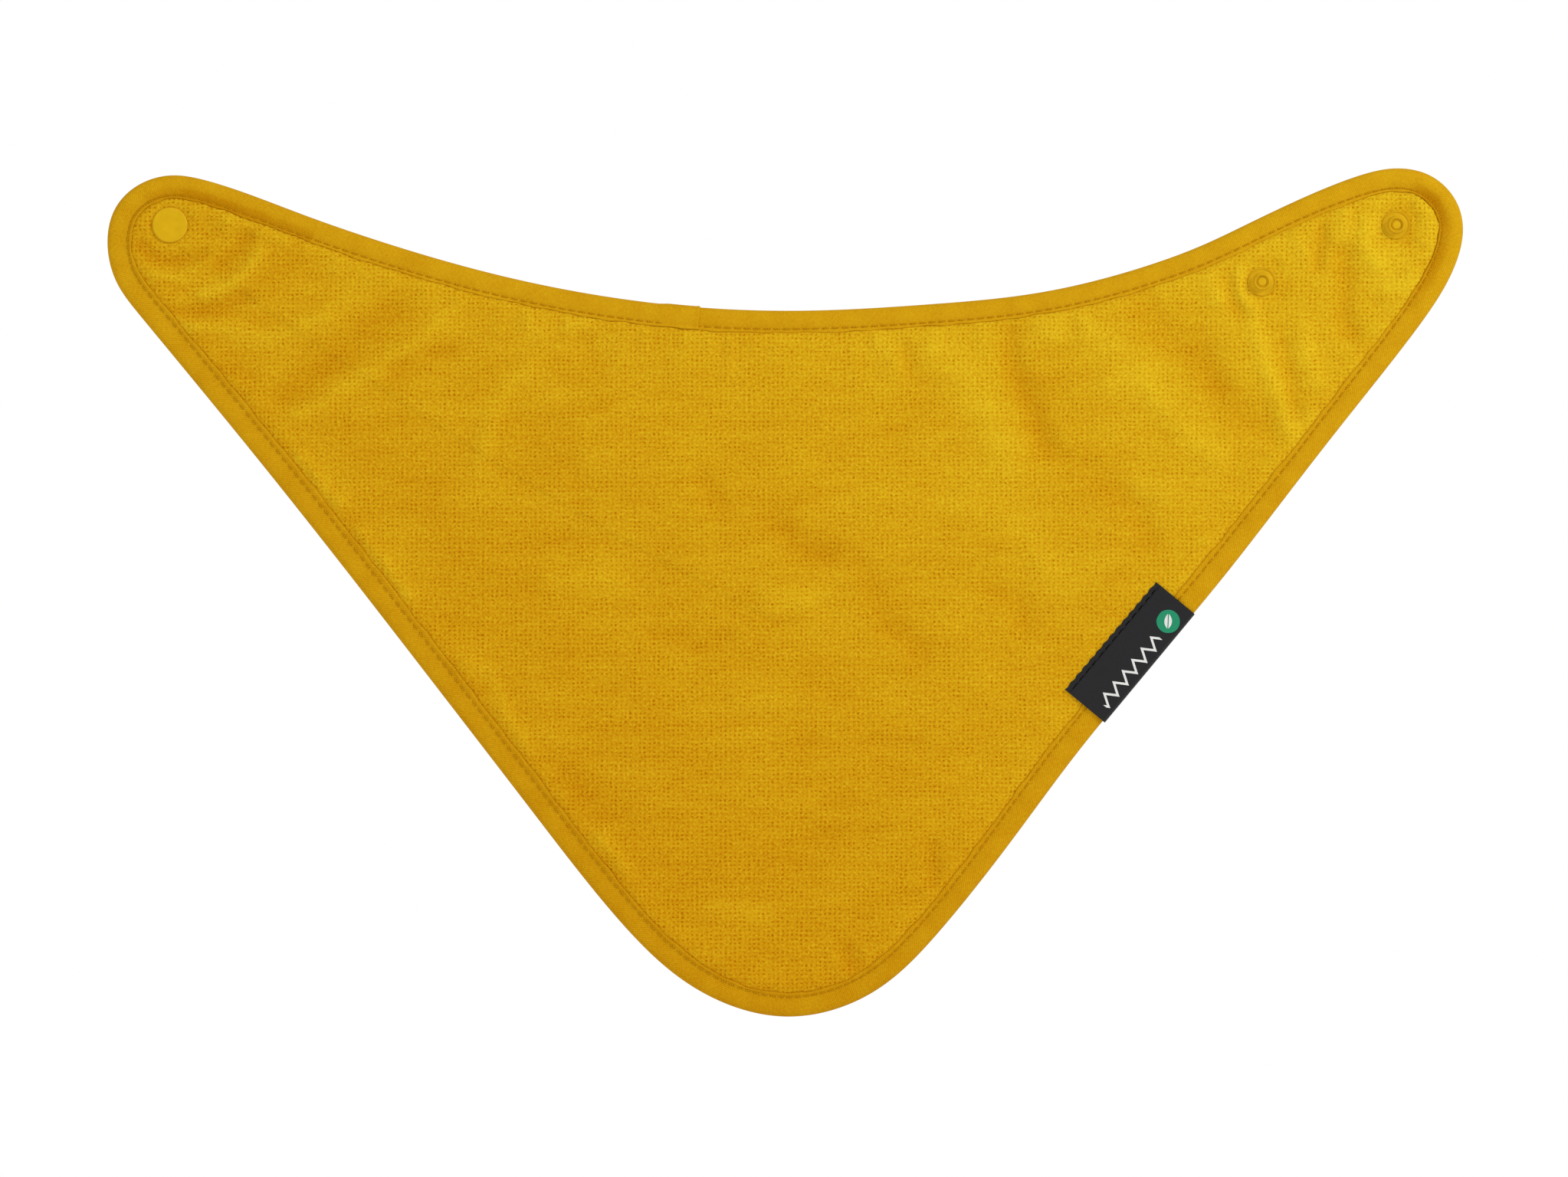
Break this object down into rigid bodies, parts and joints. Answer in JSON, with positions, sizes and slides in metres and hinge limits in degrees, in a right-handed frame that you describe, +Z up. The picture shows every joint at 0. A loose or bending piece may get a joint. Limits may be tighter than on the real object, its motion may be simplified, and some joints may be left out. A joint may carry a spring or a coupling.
{
  "type": "bandana bib",
  "caption": "baby's bandana bib: a towelling triangle bound with folded tape, with snap fasteners on the two ends that meet behind the neck",
  "frame": {"origin": "middle of the neckline edge, in the plane of the binding's back, which is also the plane that the fold lines lie in", "axes": "+X along the neckline towards the stud end (the viewer's right from the front), +Y from the front of the bib towards the wearer, +Z up from the point of the bib to the neckline"},
  "size_m": [0.408, 0.0074, 0.2554],
  "materials": {
    "towelling_cloth": "short cotton loops, dense and matt, in weft rows 1.3 mm apart",
    "backing_cloth": "fine plain weave with a thin waterproof coat, low sheen",
    "binding_cloth": "smooth fine cotton tape, matt",
    "seam_thread": "polyester sewing thread, faint sheen",
    "snap_resin": "moulded acetal resin, satin gloss",
    "label_satin": "woven black satin",
    "label_thread": "black polyester sewing thread"
  },
  "bodies": {
    "chest": {"towelling_chest": "towelling_cloth", "backing_chest": "backing_cloth", "binding_chest_neck": "binding_cloth", "binding_chest_hem": "binding_cloth", "needle_thread_chest_neck": "seam_thread", "needle_thread_chest_hem": "seam_thread", "bobbin_thread_chest_neck": "seam_thread", "bobbin_thread_chest_hem": "seam_thread"},
    "left_shoulder": {"towelling_left_shoulder": "towelling_cloth", "backing_left_shoulder": "backing_cloth", "binding_left_shoulder_neck": "binding_cloth", "binding_left_shoulder_hem": "binding_cloth", "needle_thread_left_shoulder_neck": "seam_thread", "needle_thread_left_shoulder_hem": "seam_thread", "bobbin_thread_left_shoulder_neck": "seam_thread", "bobbin_thread_left_shoulder_hem": "seam_thread"},
    "left_end": {"towelling_left_end": "towelling_cloth", "backing_left_end": "backing_cloth", "binding_left_end": "binding_cloth", "needle_thread_left_end": "seam_thread", "bobbin_thread_left_end": "seam_thread", "snap_cap_left": "snap_resin", "snap_socket_left": "snap_resin"},
    "right_shoulder": {"towelling_right_shoulder": "towelling_cloth", "backing_right_shoulder": "backing_cloth", "binding_right_shoulder_neck": "binding_cloth", "binding_right_shoulder_hem": "binding_cloth", "needle_thread_right_shoulder_neck": "seam_thread", "needle_thread_right_shoulder_hem": "seam_thread", "bobbin_thread_right_shoulder_neck": "seam_thread", "bobbin_thread_right_shoulder_hem": "seam_thread", "woven_label": "label_satin", "label_needle_thread": "label_thread", "label_bobbin_thread": "label_thread"},
    "right_end": {"towelling_right_end": "towelling_cloth", "backing_right_end": "backing_cloth", "binding_right_end": "binding_cloth", "needle_thread_right_end": "seam_thread", "bobbin_thread_right_end": "seam_thread", "snap_stud_outer": "snap_resin", "snap_cap_outer": "snap_resin", "snap_stud_inner": "snap_resin", "snap_cap_inner": "snap_resin"}
  },
  "joints": [
    {"name": "right_shoulder_fold", "type": "hinge", "parent": "chest", "child": "right_shoulder", "pos_m": [0.06, 0, 0], "axis": [0, 0, 1], "range_deg": [0, 90]},
    {"name": "right_end_fold", "type": "hinge", "parent": "right_shoulder", "child": "right_end", "pos_m": [0.12452, 0, 0], "axis": [0, 0, 1], "range_deg": [0, 90]},
    {"name": "left_shoulder_fold", "type": "hinge", "parent": "chest", "child": "left_shoulder", "pos_m": [-0.057, 0, 0], "axis": [0, 0, -1], "range_deg": [0, 90]},
    {"name": "left_end_fold", "type": "hinge", "parent": "left_shoulder", "child": "left_end", "pos_m": [-0.12748, 0, 0], "axis": [0, 0, -1], "range_deg": [0, 90]}
  ]
}
